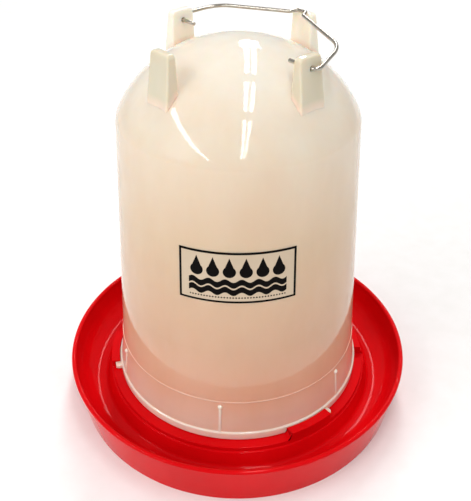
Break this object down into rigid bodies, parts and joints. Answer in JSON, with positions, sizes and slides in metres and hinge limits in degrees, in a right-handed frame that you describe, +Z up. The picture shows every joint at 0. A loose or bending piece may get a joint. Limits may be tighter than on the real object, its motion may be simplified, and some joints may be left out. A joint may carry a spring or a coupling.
{
  "type": "poultry waterer fount",
  "caption": "Domed translucent tank with moulded legs that twists into a round drinking trough, with a swinging wire bail for carrying and hanging.",
  "frame": {"origin": "on the tank's vertical axis, at the surface that the tray stands on", "axes": "+Z up along the tank's axis, -Y towards the label, +X to the right of someone facing the label"},
  "size_m": [0.35, 0.35, 0.3793],
  "materials": {
    "tray_plastic": "moulded red polypropylene, semi-gloss",
    "tank_plastic": "moulded natural polyethylene, translucent, smooth",
    "galvanised_wire": "drawn steel wire, bright zinc coat",
    "label_print": "printed film label with a dark frame"
  },
  "bodies": {
    "base": {"tray": "tray_plastic", "tray_cams": "tray_plastic"},
    "fount": {"tank": "tank_plastic", "tank_lugs": "tank_plastic", "front_right_leg": "tank_plastic", "rear_right_leg": "tank_plastic", "rear_left_leg": "tank_plastic", "front_left_leg": "tank_plastic", "label": "label_print"},
    "bail": {"bail": "galvanised_wire"}
  },
  "joints": [
    {"name": "twist_lock", "type": "hinge", "parent": "base", "child": "fount", "pos_m": [0, 0, 0.0303], "axis": [0, 0, 1], "range_deg": [0, 22]},
    {"name": "bail_swing", "type": "hinge", "parent": "fount", "child": "bail", "pos_m": [0, 0, 0.368], "axis": [0.6691, -0.7431, 0], "range_deg": [0, 164]}
  ]
}
